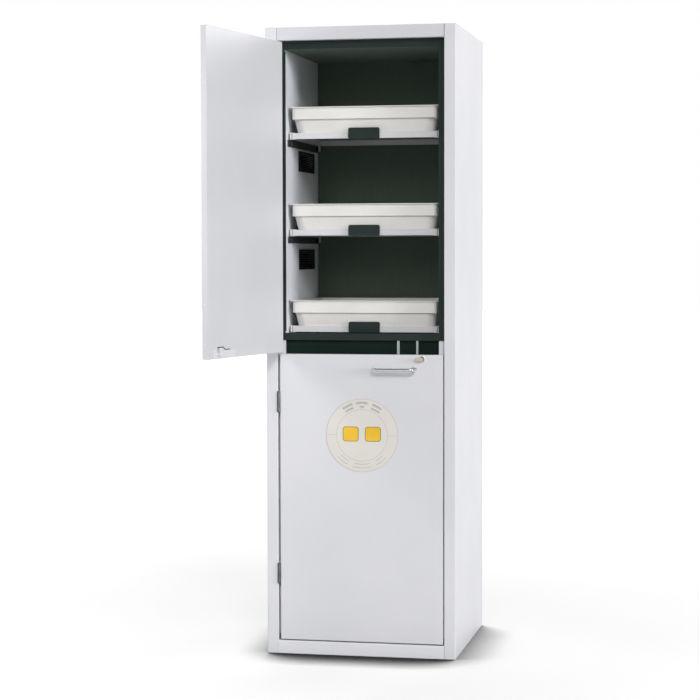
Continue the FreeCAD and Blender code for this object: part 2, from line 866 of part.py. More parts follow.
def lock_cylinder(name, level, cam_direction, swing):
    """Turning plug, spindle and cam; the cam points up or down when the lock is open."""
    body = new_node(name, swing)
    plug_back = "(door_thickness + case_thickness)"
    pull(body, FRONT, [circle("lock_across", level, "plug_radius")], "-plug_stand", plug_back)
    slot = rectangle(
        "lock_across - keyway_half_width", "lock_across + keyway_half_width",
        f"{level} - keyway_half_height", f"{level} + keyway_half_height",
    )
    carve(body, FRONT, [slot], "-plug_stand", "keyway_depth - plug_stand")
    spindle_end = "cam_front + cam_thickness / 2"
    pull(body, FRONT, [circle("lock_across", level, "spindle_radius")], plug_back, spindle_end)
    tip = f"{level} + {cam_direction} * cam_length"
    heel = f"{level} - {cam_direction} * cam_half_width"
    low, high = (tip, heel) if cam_direction < 0 else (heel, tip)
    arm = rectangle(
        "lock_across - cam_half_width", "lock_across + cam_half_width", low, high, "cam_corner",
    )
    pull(body, FRONT, [arm], "cam_front", "cam_front + cam_thickness")


def key():
    """Key in the lower lock, with a flat bow folded to the left over the door's face."""
    body = new_node("lower_lock_key")
    bow = rectangle(
        "lock_across - key_bow_left", "lock_across + key_bow_right",
        "lower_lock_level - key_bow_half_height", "lower_lock_level + key_bow_half_height",
        "key_bow_corner",
    )
    ring_hole = circle("lock_across - key_ring_left", "lower_lock_level", "key_ring_radius")
    bow_back = "key_bow_thickness - key_bow_reach"
    pull(body, FRONT, [bow, ring_hole], "-key_bow_reach", bow_back)
    blade = rectangle(
        "lock_across - keyway_half_width + key_play", "lock_across + keyway_half_width - key_play",
        "lower_lock_level - keyway_half_height + key_play",
        "lower_lock_level + keyway_half_height - key_play",
    )
    pull(body, FRONT, [blade], bow_back, "keyway_depth - plug_stand")


def information_disc():
    body = new_node("lower_door_disc")
    disc = circle("disc_across", "disc_level", "disc_radius")
    pull(body, FRONT, [disc], "-disc_thickness", 0)


def add_shelf(body, level):
    """Sheet shelf folded down on all sides, with a plastic cap at each end of its front."""
    outer = rectangle("-shelf_side", "shelf_side", "shelf_front", "shelf_back")
    inner = rectangle(
        "shelf_steel - shelf_side", "shelf_side - shelf_steel",
        "shelf_front + shelf_steel", "shelf_back - shelf_steel",
    )
    pull(body, PLAN, [outer], level, f"{level} + shelf_rise")
    carve(body, PLAN, [inner], level, f"{level} + shelf_rise - shelf_steel")
    cap = rectangle(
        "shelf_side - cap_width", "shelf_side + cap_margin / 2",
        f"{level} - cap_margin", f"{level} + shelf_rise + cap_margin", "cap_margin",
    )
    pull(body, FRONT, both_sides(cap), "shelf_front - cap_thickness", "shelf_front")


def tray_plan(part, corner, inset=0):
    """Plan outline of one height of the tray, moved inward by a wall where asked."""
    return rectangle(
        f"{inset} - tray_{part}_side", f"tray_{part}_side - {inset}",
        f"tray_{part}_front + {inset}", f"tray_{part}_back - {inset}", f"{corner} - {inset}",
    )


def add_tray(body, level):
    """Deep tray: tapered body, upright band and flat lip, all one wall thick."""
    floor = f"({level} + shelf_rise)"
    step = f"({level} + tray_band_bottom)"
    top = f"({level} + tray_top)"
    lip = f"({top} - tray_wall)"
    wall = "tray_wall"
    loft(
        body, "PartDesign::AdditiveLoft",
        tray_plan("foot", "tray_body_corner"), floor, tray_plan("body", "tray_body_corner"), step,
    )
    pull(body, PLAN, [tray_plan("band", "tray_band_corner")], f"{step} - tray_wall", lip)
    pull(body, PLAN, [tray_plan("lip", "tray_lip_corner")], lip, top)
    carve(body, PLAN, [tray_plan("band", "tray_band_corner", wall)], step, top)
    before = body.Shape.Volume
    loft(
        body, "PartDesign::SubtractiveLoft",
        tray_plan("foot", "tray_body_corner", wall), f"{floor} + tray_wall",
        tray_plan("body", "tray_body_corner", wall), step,
    )
    if body.Shape.Volume > before - TINY:
        raise RuntimeError(f"{body.Label}: the tray stayed solid")


def add_grip(body, level):
    """Upright grip plate on a stem in front of the shelf."""
    grip_back = "(grip_front + grip_thickness)"
    plate = rectangle(
        "-grip_half_width", "grip_half_width", f"{level} - grip_below", f"{level} + grip_above",
        "grip_corner",
    )
    stem = rectangle(
        "-grip_stem_half_width", "grip_stem_half_width",
        f"{level} + grip_stem_bottom", f"{level} + grip_stem_top",
    )
    pull(body, FRONT, [plate], "grip_front", grip_back)
    pull(body, FRONT, [stem], grip_back, "shelf_front")


def add_fixed_rails(body, level):
    """Rails on the side walls: a channel for the rear roller and an axle for the front roller."""
    centre = f"({level} - rail_drop)"
    floor = f"({centre} - channel_floor)"
    roof = f"({centre} + channel_roof)"
    web = from_wall("rail_steel")
    reach = from_wall("channel_reach")
    channel = [
        (WALL, f"{floor} - rail_steel"),
        (reach, f"{floor} - rail_steel"),
        (reach, floor),
        (web, floor),
        (web, roof),
        (reach, roof),
        (reach, f"{roof} + rail_steel"),
        (WALL, f"{roof} + rail_steel"),
    ]
    nose = rectangle(web, WALL, f"{floor} - rail_steel", f"{roof} + rail_steel")
    pull(body, FRONT, both_sides(channel), "channel_front", "rail_back")
    pull(body, FRONT, both_sides(nose), "rail_front", "channel_front")
    axle_level = f"({centre} + front_roller_rise)"
    roller_far = "(rail_steel + roller_play + roller_width)"
    axle = circle("front_roller_depth", axle_level, "axle_radius")
    head = circle("front_roller_depth", axle_level, "axle_head")
    pull_from_wall(body, [axle], "rail_steel", f"{roller_far} + roller_play")
    pull_from_wall(body, [head], f"{roller_far} + roller_play / 2", f"{roller_far} + roller_play")


def add_moving_rails(body, level):
    """Rails on the shelf's sides: a flange over the front roller and an axle for the rear one."""
    side = "shelf_side"
    web = f"({side} + rail_steel)"
    flange = from_wall("runner_flange")
    underside = f"({level} - rail_steel - runner_gap)"
    angle = [
        (side, underside),
        (flange, underside),
        (flange, f"{underside} + rail_steel"),
        (web, f"{underside} + rail_steel"),
        (web, f"{level} + runner_top"),
        (side, f"{level} + runner_top"),
    ]
    pull(body, FRONT, both_sides(angle), "shelf_front", "shelf_back")
    end_piece = rectangle(
        f"{web} - runner_overlap", flange, underside, f"{level} + runner_end_above",
        "runner_end_corner",
    )
    pull(body, FRONT, both_sides(end_piece), "shelf_front - runner_end_thickness", "shelf_front")
    centre = f"({level} - rail_drop)"
    tab = rectangle("tab_front", "tab_back", f"{centre} - tab_below", f"{underside} + rail_steel")
    web_near = f"({SHELF_GAP} - rail_steel)"
    pull_from_wall(body, [tab], web_near, SHELF_GAP)
    axle_level = f"({centre} - rear_roller_drop)"
    axle = circle("rear_roller_depth", axle_level, "axle_radius")
    hub = circle("rear_roller_depth", axle_level, "axle_head")
    pull_from_wall(body, [axle], "rail_steel + axle_end_gap", web_near)
    pull_from_wall(body, [hub], f"{web_near} - roller_play", web_near)


def add_front_rollers(body, level):
    """Plastic rollers on the fixed rails."""
    height = f"({level} - rail_drop + front_roller_rise)"
    add_rollers(body, "front_roller_depth", height, "front_roller_radius")


def add_rear_rollers(body, level):
    """Plastic rollers on the moving rails."""
    height = f"({level} - rail_drop - rear_roller_drop)"
    add_rollers(body, "rear_roller_depth", height, "rear_roller_radius")


def add_rollers(body, depth, height, radius):
    outline = [circle(depth, height, radius), circle(depth, height, "axle_bore")]
    near = "(rail_steel + roller_play)"
    pull_from_wall(body, outline, near, f"{near} + roller_width")


def upper_pull_outs():
    """Three pull-outs, each with its own shelf, tray, grip, rails and rollers."""
    rails = new_node("upper_fixed_rails")
    for index in LEVELS:
        level = upper_level(index)
        number = index + 1
        add_fixed_rails(rails, level)
        add_shelf(new_node(f"pull_out_{number}_shelf"), level)
        add_tray(new_node(f"pull_out_{number}_tray"), level)
        add_grip(new_node(f"pull_out_{number}_grip"), level)
        add_moving_rails(new_node(f"pull_out_{number}_rails"), level)
        add_front_rollers(new_node(f"pull_out_{number}_front_rollers"), level)
        add_rear_rollers(new_node(f"pull_out_{number}_rear_rollers"), level)


def lower_pull_outs():
    """The same three pull-outs behind the lower door."""
    shelves = new_node("lower_shelves")
    trays = new_node("lower_trays")
    grips = new_node("lower_grips")
    rails = new_node("lower_rails")
    for index in LEVELS:
        level = lower_level(index)
        add_shelf(shelves, level)
        add_tray(trays, level)
        add_grip(grips, level)
        add_fixed_rails(rails, level)
        add_moving_rails(rails, level)
        add_front_rollers(rails, level)
        add_rear_rollers(rails, level)


def casing():
    side_panel("left_side_panel", -1)
    side_panel("right_side_panel", 1)
    top_cover()
    rear_panel()
    fascia()
    plinth()
    base_frame()
    levelling_screws()


def interior():
    liners()
    upper_edge_trim()
    cross_beam()
    exhaust_collar()
    vent_grilles()
    strike_bracket()
    frame_hinges()


def doors():
    swing = value("door_open_angle")
    door_layers("lower", "lower_door_bottom", "lower_door_top", "lower_lock_level", 0)
    door_layers("upper", "upper_door_bottom", "upper_door_top", "upper_lock_level", swing)
    door_hinges("lower_door_hinges", ("lower_hinge_low", "lower_hinge_high"), 0)
    door_hinges("upper_door_hinges", ("upper_hinge_low", "upper_hinge_high"), swing)
    handle("lower_handle", "lower_handle_level", 0)
    handle("upper_handle", "upper_handle_level", swing)
    lock_case("lower_lock_case", "lower_lock_level", "lower_handle_level", 0)
    lock_case("upper_lock_case", "upper_lock_level", "upper_handle_level", swing, EDGE_SCREWS)
    latch_lever(swing)
    lock_cylinder("lower_lock_cylinder", "lower_lock_level", -1, 0)
    lock_cylinder("upper_lock_cylinder", "upper_lock_level", 1, swing)
    key()
    information_disc()


def check_document():
    """Stop at any object that failed, and at any sub-part without a sound shape."""
    for item in doc.Objects:
        if "Invalid" in item.State or "Error" in item.State:
            raise RuntimeError(f"{item.Label} failed: {item.State}")
    for body in nodes:
        if body.Shape.isNull() or not body.Shape.isValid() or body.Shape.Volume <= 0:
            raise RuntimeError(f"{body.Label} has no valid shape")


def write_parts():
    os.makedirs("parts", exist_ok=True)
    for body in nodes:
        body.Shape.exportStep(f"parts/{body.Label}.step")
        box = body.Shape.BoundBox
        print(f"{body.Label}: {len(body.Shape.Solids)} solids, {box.XLength:.1f} x "
              f"{box.YLength:.1f} x {box.ZLength:.1f}, {body.Shape.Volume / 1000:.1f} cm3")


casing()
interior()
doors()
upper_pull_outs()
lower_pull_outs()
doc.recompute()
check_document()
write_parts()
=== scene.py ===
"""Finishes, small parts, light and camera for the tall acid storage cabinet.

Places are written as in the CAD: X to the right, depth behind the closed front face, Z above the
floor, all in millimetres. Pieces on the upper door are placed as if it were closed, then swung
open with it.
"""
import math

import bmesh
import bpy
from mathutils import Matrix, Vector


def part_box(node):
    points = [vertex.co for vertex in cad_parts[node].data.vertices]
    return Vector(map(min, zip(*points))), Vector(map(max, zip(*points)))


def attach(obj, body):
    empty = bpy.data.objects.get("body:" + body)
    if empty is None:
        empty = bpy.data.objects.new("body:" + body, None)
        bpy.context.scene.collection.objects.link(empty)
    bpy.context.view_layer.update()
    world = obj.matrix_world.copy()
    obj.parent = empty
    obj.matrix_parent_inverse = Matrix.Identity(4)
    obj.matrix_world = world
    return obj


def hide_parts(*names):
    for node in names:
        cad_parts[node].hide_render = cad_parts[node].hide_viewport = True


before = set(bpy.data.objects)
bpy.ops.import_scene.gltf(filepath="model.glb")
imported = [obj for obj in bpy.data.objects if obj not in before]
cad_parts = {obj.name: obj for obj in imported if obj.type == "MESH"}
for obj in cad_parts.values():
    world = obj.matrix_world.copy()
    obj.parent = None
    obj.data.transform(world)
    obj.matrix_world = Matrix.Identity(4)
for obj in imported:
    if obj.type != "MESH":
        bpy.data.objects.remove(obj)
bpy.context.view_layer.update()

MM = 0.001

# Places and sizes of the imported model, and the angle in degrees at which its upper door is open
HALF_DEPTH = 301.5
OPEN_ANGLE = 101.4
HINGE_LINE = (-261.5, -1)
HINGE_LEVELS = {"lower": (254.4, 797), "upper": (1182.5, 1712)}
HINGE_HEIGHT = 62.5
DOOR_BACK = 18
CASE_THICKNESS = 2
SCREW_STAND = 1.2
INNER_WALL = 244.5
REAR = 603
TOP = 1965
HANDLE_FEET = (44, 172)
HANDLE_LEVEL = {"lower": 902, "upper": 1001}
LOCK_ACROSS = 196
LOCK_LEVEL = {"lower": 934, "upper": 967}
LOCK_FACE = -2
CASE_SCREWS = (79, 164)
DISC_CENTRE = (5.5, 695)
DISC_FACE = -0.8
COLLAR = (0, 556)
COLLAR_RADIUS = 37.6
GRILLES = ((212, 1527), (212, 1210))
GRILLE_SIZE = (220, 65)
SHELF_PITCH = 304
PULL_OUTS = (1, 2, 3)
LOWER_SHELF_COUNT = 3

# The rear panel's screws
REAR_SCREW_ACROSS = 287
REAR_SCREW_LEVELS = (70, 380, 690, 1000, 1310, 1620, 1900)

# Edges that turn by more than this angle in degrees count as sharp
SHARP_ANGLE = 35

# The camera's place in metres, turns in radians and lens in millimetres, fitted to the photo
CAMERA_SPOT = (1.2397, -6.4283, 1.2581)
CAMERA_PITCH = 0.0474
CAMERA_ROLL = 0.0022
CAMERA_TURN = 0.2046
CAMERA_LENS = 103.41
CAMERA_SENSOR = 36


def point(across, depth, height):
    """A place in millimetres, measured from the closed front face, as a vector in metres."""
    return Vector((across, depth - HALF_DEPTH, height)) * MM


HINGE = point(*HINGE_LINE, 0)
SWING = (
    Matrix.Translation(HINGE)
    @ Matrix.Rotation(math.radians(-OPEN_ANGLE), 4, "Z")
    @ Matrix.Translation(-HINGE)
)

# Turns that make a flat piece, drawn in X and Y, face out of each side
FACING = {
    "front": Matrix(((1, 0, 0), (0, 0, -1), (0, 1, 0))),
    "back": Matrix(((-1, 0, 0), (0, 0, 1), (0, 1, 0))),
    "right": Matrix(((0, 0, 1), (1, 0, 0), (0, 1, 0))),
    "top": Matrix.Identity(3),
}


def place(side, across, depth, height, swung=False):
    """Matrix that puts a piece at a point of the cabinet, facing one side."""
    matrix = Matrix.Translation(point(across, depth, height)) @ FACING[side].to_4x4()
    return SWING @ matrix if swung else matrix


def linear(red, green, blue):
    """An sRGB colour in 0 to 255 as linear RGBA."""
    def channel(value):
        part = value / 255
        return part / 12.92 if part <= 0.04045 else ((part + 0.055) / 1.055) ** 2.4
    return (channel(red), channel(green), channel(blue), 1.0)


def add_object(name, data):
    """A new object in the scene."""
    thing = bpy.data.objects.new(name, data)
    bpy.context.scene.collection.objects.link(thing)
    return thing


def mesh_from(bm, name):
    """A mesh from a bmesh that isn't needed any more."""
    mesh = bpy.data.meshes.new(name)
    bm.to_mesh(mesh)
    bm.free()
    return mesh


# Finishes


class Finish:
    """A material whose colour, gloss and relief come from noise in the piece's own space."""

    def __init__(self, name, stretch=(1, 1, 1)):
        self.material = bpy.data.materials.new(name)
        self.material.use_nodes = True
        self.tree = self.material.node_tree
        self.shader = self.tree.nodes["Principled BSDF"]
        in_piece = self.node("ShaderNodeTexCoord").outputs["Object"]
        mapping = self.node("ShaderNodeMapping", Vector=in_piece, Scale=stretch)
        self.space = mapping.outputs["Vector"]

    def node(self, kind, **inputs):
        """A new node with its inputs linked or set."""
        node = self.tree.nodes.new(kind)
        for name, content in inputs.items():
            socket = node.inputs[name.replace("_", " ")]
            if isinstance(content, bpy.types.NodeSocket):
                self.tree.links.new(content, socket)
            else:
                socket.default_value = content
        return node

    def noise(self, scale, detail=2.0):
        """Noise from 0 to 1, with a scale in cells per metre where the finish isn't stretched."""
        node = self.node(
            "ShaderNodeTexNoise", Vector=self.space, Scale=scale, Detail=detail, Roughness=0.5,
        )
        return node.outputs["Fac"]

    def colour(self, dark, light, scale, detail=3.0):
        """Colour that wanders between two tones."""
        ramp = self.node("ShaderNodeValToRGB", Fac=self.noise(scale, detail))
        for stop, position, tone in zip(ramp.color_ramp.elements, (0.3, 0.7), (dark, light)):
            stop.position = position
            stop.color = linear(*tone)
        self.tree.links.new(ramp.outputs["Color"], self.shader.inputs["Base Color"])
        return self

    def gloss(self, low, high, scale):
        """Roughness between two values."""
        span = self.node("ShaderNodeMapRange", Value=self.noise(scale), To_Min=low, To_Max=high)
        self.tree.links.new(span.outputs["Result"], self.shader.inputs["Roughness"])
        return self

    def relief(self, scale, height, strength, detail=2.0):
        """Fine bump of a given height in millimetres."""
        bump = self.node(
            "ShaderNodeBump",
            Height=self.noise(scale, detail), Strength=strength, Distance=height * MM,
        )
        self.tree.links.new(bump.outputs["Normal"], self.shader.inputs["Normal"])
        return self

    def set(self, **inputs):
        """Values that are the same all over, straight on the shader."""
        for name, content in inputs.items():
            self.shader.inputs[name.replace("_", " ")].default_value = content
        return self


def satin(name, dark, light, low, high):
    """Satin paint with a fine orange peel, as a finish that isn't complete yet."""
    finish = Finish(name)
    finish.colour(dark, light, scale=3.0).gloss(low, high, scale=25.0)
    return finish.relief(scale=650.0, height=0.12, strength=0.25)


def powder_coat(name, dark, light, low=0.34, high=0.44):
    """Satin powder coat."""
    return satin(name, dark, light, low, high).set(Specular_IOR_Level=0.4).material


def shelf_coat(name, dark, light, underside_shade):
    """Satin coat with painted shade: faces that look down turn to a dark colour."""
    finish = satin(name, dark, light, 0.3, 0.4)
    outward = finish.node("ShaderNodeTexCoord").outputs["Normal"]
    upward = finish.node("ShaderNodeSeparateXYZ", Vector=outward).outputs["Z"]
    # Painted shade: faces that look down are mixed towards a dark colour
    below = finish.node("ShaderNodeMapRange", Value=upward, From_Min=-0.6, From_Max=-0.9)
    coat = finish.shader.inputs["Base Color"].links[0].from_socket
    mix = finish.node("ShaderNodeMix")
    mix.data_type = "RGBA"
    # The Mix node has sockets for every type, and its colours are inputs 6 and 7 and output 2
    finish.tree.links.new(below.outputs["Result"], mix.inputs["Factor"])
    finish.tree.links.new(coat, mix.inputs[6])
    mix.inputs[7].default_value = linear(*underside_shade)
    finish.tree.links.new(mix.outputs[2], finish.shader.inputs["Base Color"])
    return finish.set(Specular_IOR_Level=0.3).material


def moulded_plastic(name, dark, light, low, high, specular=0.5):
    """Moulded plastic with a soft mottle and a faintly grained skin."""
    finish = Finish(name)
    finish.colour(dark, light, scale=9.0).gloss(low, high, scale=40.0)
    finish.relief(scale=900.0, height=0.08, strength=0.3, detail=3.0)
    return finish.set(Specular_IOR_Level=specular).material


def coated_board(name, dark, light):
    """Melamine-faced board with a short vertical grain."""
    finish = Finish(name, stretch=(60, 60, 4))
    finish.colour(dark, light, scale=2.5, detail=5.0).gloss(0.5, 0.65, scale=6.0)
    finish.relief(scale=18.0, height=0.03, strength=0.2, detail=4.0)
    return finish.set(Specular_IOR_Level=0.3).material


def bare_board(name, dark, light):
    """Open chips at the cut face of a particle board."""
    finish = Finish(name)
    finish.colour(dark, light, scale=260.0, detail=6.0).gloss(0.7, 0.9, scale=120.0)
    return finish.relief(scale=320.0, height=0.4, strength=0.8, detail=4.0).material


def metal(name, dark, light, low, high, stretch=(1, 1, 1)):
    """Bare or plated metal with drawn streaks where it is stretched."""
    finish = Finish(name, stretch)
    finish.colour(dark, light, scale=14.0, detail=4.0).gloss(low, high, scale=60.0)
    finish.relief(scale=500.0, height=0.03, strength=0.3)
    return finish.set(Metallic=1.0).material


def polished(name, dark, light):
    """Bright plating, smooth but for a slow waviness of its gloss."""
    finish = Finish(name)
    finish.colour(dark, light, scale=6.0).gloss(0.05, 0.1, scale=9.0)
    return finish.set(Metallic=1.0).material


# Each finish: its two tones in sRGB, then its lowest and highest roughness where they aren't the
# usual ones, and a plastic's specular level
FINISH = {
    "casing": powder_coat("casing_coat", (213, 214, 218), (220, 220, 224)),
    "top": powder_coat("top_coat", (213, 214, 218), (220, 220, 224), 0.6, 0.7),
    # Painted light: the plinth is a lighter copy of the casing coat, against the shade near the
    # floor
    "plinth": powder_coat("plinth_lit_coat", (222, 223, 226), (228, 228, 231)),
    # Painted shade: the fascia is a darker copy of the casing coat
    "fascia": powder_coat("fascia_shaded_coat", (206, 207, 211), (212, 212, 216)),
    "door": powder_coat("door_coat", (211, 212, 216), (218, 218, 222)),
    # Painted shade on the undersides of the shelves and rails
    "shelf": shelf_coat("shelf_coat", (205, 205, 207), (213, 213, 215), underside_shade=(78, 81, 75)),
    # Painted shade: the fixed rails under the shelves are dark
    "runner": powder_coat("fixed_rail_shade_coat", (62, 66, 64), (72, 76, 74), 0.45, 0.6),
    "liner": coated_board("light_board", (219, 222, 227), (224, 227, 232)),
    # Painted shade: the back, floor and divider boards are dark for the deep shade inside the
    # cabinet, and the ceiling board is a lighter copy for the light near its front
    "shade_liner": coated_board("painted_shade_board", (76, 91, 79), (79, 94, 82)),
    "ceiling": coated_board("ceiling_painted_shade_board", (88, 103, 93), (93, 108, 98)),
    "core": bare_board("cut_board", (142, 118, 84), (196, 172, 132)),
    "trim": moulded_plastic("dark_trim", (23, 35, 32), (30, 42, 39), 0.5, 0.65, 0.25),
    # The beam's dark colour is partly its own and partly painted shade, darker than the trim for
    # the gap beneath it
    "beam": moulded_plastic("beam_paint_and_shade", (16, 30, 25), (21, 35, 30), 0.6, 0.75, 0.08),
    "tray": moulded_plastic("tray_plastic", (221, 219, 215), (229, 228, 224), 0.28, 0.38),
    "dark": moulded_plastic("dark_plastic", (23, 34, 33), (30, 42, 41), 0.45, 0.6, 0.25),
    "black": moulded_plastic("louvre_plastic", (10, 13, 13), (16, 19, 19), 0.5, 0.65, 0.2),
    "roller": moulded_plastic("roller_plastic", (26, 28, 28), (38, 40, 40), 0.35, 0.5),
    "hinge": metal("hinge_steel", (92, 94, 98), (112, 114, 118), 0.4, 0.55),
    "strike": powder_coat("strike_paint", (150, 158, 157), (164, 171, 170), 0.45, 0.6),
    "zinc": metal("zinc_steel", (168, 174, 176), (200, 204, 205), 0.28, 0.42, stretch=(1, 1, 8)),
    "galvanised": metal("galvanised_steel", (150, 154, 156), (186, 189, 190), 0.35, 0.5),
    "chrome": polished("chrome_plate", (194, 195, 196), (203, 204, 205)),
    "nickel": metal("lock_nickel", (196, 194, 189), (214, 212, 207), 0.25, 0.38),
    "case": powder_coat("lock_case_coat", (220, 220, 224), (229, 229, 232), 0.3, 0.4),
    "brass": metal("key_brass", (188, 178, 162), (202, 192, 176), 0.35, 0.5),
    "screw": metal("screw_steel", (124, 126, 128), (156, 158, 160), 0.3, 0.45),
    "film": moulded_plastic("disc_film", (213, 210, 203), (219, 217, 210), 0.3, 0.4),
    "rose": moulded_plastic("rose_print", (192, 158, 162), (202, 168, 172), 0.4, 0.5),
    "grey_print": moulded_plastic("grey_print", (124, 124, 120), (140, 140, 136), 0.4, 0.5),
    "pale_print": moulded_plastic("pale_print", (170, 170, 164), (182, 182, 176), 0.4, 0.5),
    "amber": moulded_plastic("amber_print", (226, 178, 40), (240, 196, 62), 0.35, 0.45),
    "rubber": moulded_plastic("rubber_seal", (28, 29, 30), (38, 39, 40), 0.55, 0.75),
}

# Finish and edge radius in millimetres of each sub-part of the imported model
DRESS = {
    "left_side_panel": ("casing", 0.4),
    "right_side_panel": ("casing", 0.4),
    "top_cover": ("top", 0.4),
    "rear_panel": ("casing", 0.3),
    "fascia": ("fascia", 0.4),
    "plinth": ("plinth", 0.4),
    "base_frame": ("galvanised", 0.6),
    "levelling_screws": ("zinc", 0.5),
    "lower_side_liners": ("liner", 0.6),
    "upper_side_liners": ("liner", 0.6),
    "floor_liner": ("shade_liner", 0.6),
    "ceiling_liner": ("ceiling", 0.6),
    "back_liner": ("shade_liner", 0.6),
    "divider_panel": ("shade_liner", 0.6),
    "upper_edge_trim": ("trim", 0.8),
    "cross_beam": ("beam", 0.6),
    "exhaust_collar": ("galvanised", 0.4),
    "vent_grilles": ("black", 0.3),
    "strike_bracket": ("strike", 0.5),
    "frame_hinges": ("hinge", 0.3),
    "lower_door_hinges": ("hinge", 0.3),
    "upper_door_hinges": ("hinge", 0.3),
    "lower_door_shell": ("door", 0.25),
    "upper_door_shell": ("door", 0.25),
    "lower_door_inner_sheet": ("door", 0.25),
    "upper_door_inner_sheet": ("door", 0.25),
    "lower_door_core": ("core", 0),
    "upper_door_core": ("core", 0),
    "lower_handle": ("chrome", 0.4),
    "upper_handle": ("chrome", 0.4),
    "lower_lock_case": ("case", 0.4),
    "upper_lock_case": ("case", 0.4),
    "lower_lock_cylinder": ("brass", 0.3),
    "upper_lock_cylinder": ("case", 0.3),
    "lower_lock_key": ("brass", 0.3),
    "upper_latch_lever": ("dark", 0.4),
    "lower_door_disc": ("film", 0.2),
    "upper_fixed_rails": ("runner", 0.2),
    "lower_rails": ("shelf", 0.2),
    "lower_shelves": ("shelf", 0.3),
    "lower_trays": ("tray", 0.7),
    "lower_grips": ("dark", 0.6),
}
for number in PULL_OUTS:
    DRESS[f"pull_out_{number}_shelf"] = ("shelf", 0.3)
    DRESS[f"pull_out_{number}_tray"] = ("tray", 0.7)
    DRESS[f"pull_out_{number}_grip"] = ("dark", 0.6)
    DRESS[f"pull_out_{number}_rails"] = ("shelf", 0.2)
    DRESS[f"pull_out_{number}_front_rollers"] = ("roller", 0.5)
    DRESS[f"pull_out_{number}_rear_rollers"] = ("roller", 0.5)


def dress(node, finish, edge):
    """Give a packed sub-part its finish and soften its sharp edges."""
    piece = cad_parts[node]
    piece.data.materials.clear()
    piece.data.materials.append(FINISH[finish])
    weld = piece.modifiers.new("weld", "WELD")
    weld.merge_threshold = 0.01 * MM
    if edge:
        join = piece.modifiers.new("join_flats", "DECIMATE")
        join.decimate_type = "DISSOLVE"
        join.angle_limit = math.radians(0.5)
        bevel = piece.modifiers.new("edges", "BEVEL")
        bevel.width = edge * MM
        bevel.segments = 2
        bevel.limit_method = "ANGLE"
        bevel.angle_limit = math.radians(SHARP_ANGLE)
        bevel.harden_normals = True
    shade = piece.modifiers.new("shading", "WEIGHTED_NORMAL")
    shade.keep_sharp = True


# Shapes


def finished(name, mesh, matrix, finish, body):
    """A mesh as a piece of the object, riding on a body."""
    mesh.shade_smooth()
    mesh.set_sharp_from_angle(angle=math.radians(SHARP_ANGLE))
    mesh.materials.append(FINISH[finish])
    piece = add_object(name, mesh)
    piece.matrix_world = matrix
    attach(piece, body)
    return piece


def flat_mesh(name, loops, thickness, bevel):
    """A plate between Z 0 and its thickness, from closed loops; an inner loop is a hole."""
    curve = bpy.data.curves.new(name, "CURVE")
    curve.dimensions = "2D"
    curve.fill_mode = "BOTH"
    curve.extrude = (thickness / 2 - bevel) * MM
    curve.bevel_depth = bevel * MM
    curve.bevel_resolution = 1
    curve.offset = -bevel * MM
    for loop in loops:
        spline = curve.splines.new("POLY")
        spline.points.add(len(loop) - 1)
        for corner, (x, y) in zip(spline.points, loop):
            corner.co = (x * MM, y * MM, 0, 1)
        spline.use_cyclic_u = True
    holder = add_object(name, curve)
    bpy.context.view_layer.update()
    evaluated = holder.evaluated_get(bpy.context.evaluated_depsgraph_get())
    mesh = bpy.data.meshes.new_from_object(evaluated)
    bpy.data.objects.remove(holder)
    bpy.data.curves.remove(curve)
    mesh.transform(Matrix.Translation((0, 0, thickness / 2 * MM)))
    return mesh


def on_circle(radius, angle):
    """A point on a circle round the origin, at an angle in radians."""
    return (radius * math.cos(angle), radius * math.sin(angle))


def ring_loop(radius, steps=64):
    """A whole circle."""
    return [on_circle(radius, 2 * math.pi * i / steps) for i in range(steps)]


def arc_loop(inner, outer, start, end, steps=24):
    """A curved bar between two radii and two angles in degrees."""
    angles = [math.radians(start + (end - start) * i / steps) for i in range(steps + 1)]
    far = [on_circle(outer, angle) for angle in angles]
    near = [on_circle(inner, angle) for angle in angles]
    return far + near[::-1]


def box_loop(left, right, bottom, top, radius=0.0):
    """A rectangle, with round corners where a radius is given."""
    if not radius:
        return [(left, bottom), (right, bottom), (right, top), (left, top)]
    steps = 6
    corners = (
        (right - radius, top - radius, 0), (left + radius, top - radius, 90),
        (left + radius, bottom + radius, 180), (right - radius, bottom + radius, 270),
    )
    loop = []
    for x, y, start in corners:
        for i in range(steps + 1):
            along, up = on_circle(radius, math.radians(start + 90 * i / steps))
            loop.append((x + along, y + up))
    return loop


def cross_loop(arm, half_width):
    """The outline of a cross recess."""
    a, w = arm, half_width
    return [
        (a, w), (w, w), (w, a), (-w, a), (-w, w), (-a, w),
        (-a, -w), (-w, -w), (-w, -a), (w, -a), (w, -w), (a, -w),
    ]


def lathe_mesh(name, profile, steps=48):
    """A round mesh from (radius, height) pairs in millimetres, closed where the radius is 0."""
    bm = bmesh.new()
    rings = []
    for radius, height in profile:
        if radius == 0:
            rings.append([bm.verts.new((0, 0, height * MM))])
            continue
        rings.append([
            bm.verts.new((x * MM, y * MM, height * MM)) for x, y in ring_loop(radius, steps)
        ])
    for low, high in zip(rings, rings[1:]):
        for i in range(steps):
            j = (i + 1) % steps
            if len(low) == 1:
                bm.faces.new((low[0], high[j], high[i]))
            elif len(high) == 1:
                bm.faces.new((low[i], low[j], high[0]))
            else:
                bm.faces.new((low[i], low[j], high[j], high[i]))
    bmesh.ops.recalc_face_normals(bm, faces=bm.faces)
    return mesh_from(bm, name)


def box_mesh(name, boxes, bevel):
    """Bevelled boxes, each (matrix, size in millimetres), joined in one mesh."""
    bm = bmesh.new()
    for matrix, size in boxes:
        scale = Matrix.Diagonal((*[part * MM for part in size], 1))
        bmesh.ops.create_cube(bm, size=1, matrix=matrix @ scale)
    bmesh.ops.bevel(
        bm, geom=bm.edges[:], offset=bevel * MM, segments=2, affect="EDGES", profile=0.5,
    )
    return mesh_from(bm, name)


def moved(across=0.0, up=0.0, out=0.0):
    """A shift in millimetres within a piece's own space."""
    return Matrix.Translation((across * MM, up * MM, out * MM))


# Small parts


